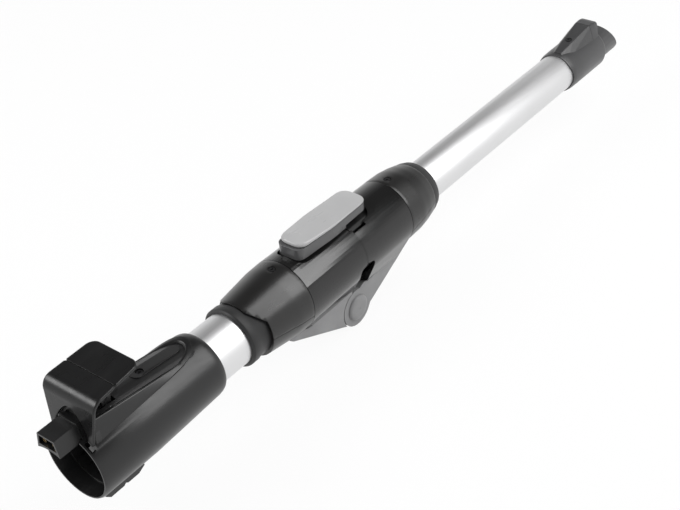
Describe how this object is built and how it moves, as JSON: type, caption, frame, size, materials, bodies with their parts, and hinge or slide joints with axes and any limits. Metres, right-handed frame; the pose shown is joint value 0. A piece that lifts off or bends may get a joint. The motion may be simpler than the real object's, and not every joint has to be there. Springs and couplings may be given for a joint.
{
  "type": "bendable vacuum wand",
  "caption": "Bendable vacuum wand: aluminium tubes joined by a locking knee with a release button, a socket with a foot pedal at one end and a plug-in spigot at the other.",
  "frame": {"origin": "centre of the socket's mouth", "axes": "+X along the wand from the socket to the spigot, +Z to the side of the release button, +Y completes a right-handed frame"},
  "size_m": [0.7095, 0.0606, 0.1225],
  "materials": {
    "socket_black": "moulded black plastic, satin",
    "pedal_black": "moulded black plastic, satin with a fine grain",
    "collar_black": "moulded black plastic, matt",
    "shell_black": "moulded black plastic, polished",
    "inner_black": "moulded black plastic, matt",
    "connector_grey": "moulded dark grey plastic, satin",
    "bracket_grey": "moulded mid grey plastic, fine texture",
    "cap_grey": "moulded light grey plastic, silk",
    "lever_grey": "moulded grey plastic, polished",
    "tube_aluminium": "drawn tube, satin anodised",
    "steel": "drawn wire and turned pin",
    "contact_brass": "turned contact, bright",
    "washer_white": "natural low-friction plastic",
    "hose_rubber": "soft black bellows",
    "lead_rubber": "black insulation",
    "screw_black": "blackened steel"
  },
  "bodies": {
    "lower_half": {"socket_barrel": "socket_black", "saddle_cover": "socket_black", "spine_cover": "socket_black", "plug_block": "socket_black", "plug_contacts": "contact_brass", "foot_pad": "socket_black", "pedal_pin": "steel", "pedal_spring": "steel", "lower_tube": "tube_aluminium", "front_collar": "collar_black", "bell_upper": "shell_black", "bell_lower": "shell_black", "knee_front_shell": "shell_black", "latch_tray": "inner_black", "button_pin": "steel", "button_spring": "steel", "front_cuff": "inner_black", "bellows_hose": "hose_rubber", "front_bracket": "bracket_grey", "hinge_pin": "steel", "hinge_washers": "washer_white", "lead_front": "lead_rubber", "lead_knee": "lead_rubber", "screws_front": "screw_black"},
    "upper_half": {"rear_bracket": "bracket_grey", "hinge_caps": "bracket_grey", "knee_rear_shell": "shell_black", "latch_catch": "inner_black", "rear_cuff": "inner_black", "rear_collar_upper": "shell_black", "rear_collar_lower": "shell_black", "rear_end_ring": "collar_black", "upper_tube": "tube_aluminium", "far_connector": "connector_grey", "fin_cover": "connector_grey", "fin_end_cap": "connector_grey", "fin_contacts": "contact_brass", "lead_rear": "lead_rubber", "screws_rear": "screw_black"},
    "button": {"button_lever": "lever_grey", "button_cap": "cap_grey"},
    "pedal": {"release_pedal": "pedal_black"}
  },
  "joints": [
    {"name": "knee_fold", "type": "hinge", "parent": "lower_half", "child": "upper_half", "pos_m": [0.272, 0, -0.045], "axis": [0, 1, 0], "range_deg": [0, 90], "deforming": ["bellows_hose", "lead_knee"]},
    {"name": "button_rock", "type": "hinge", "parent": "lower_half", "child": "button", "pos_m": [0.268, 0, 0.031], "axis": [0, -1, 0], "range_deg": [0, 4], "stiffness_Nm_per_rad": 2, "springref_deg": -2.86, "deforming": ["button_spring"]},
    {"name": "pedal_rock", "type": "hinge", "parent": "lower_half", "child": "pedal", "pos_m": [0.03, 0, 0.0315], "axis": [0, 1, 0], "range_deg": [0, 8], "stiffness_Nm_per_rad": 3, "springref_deg": -3.44, "deforming": ["pedal_spring"]}
  ]
}
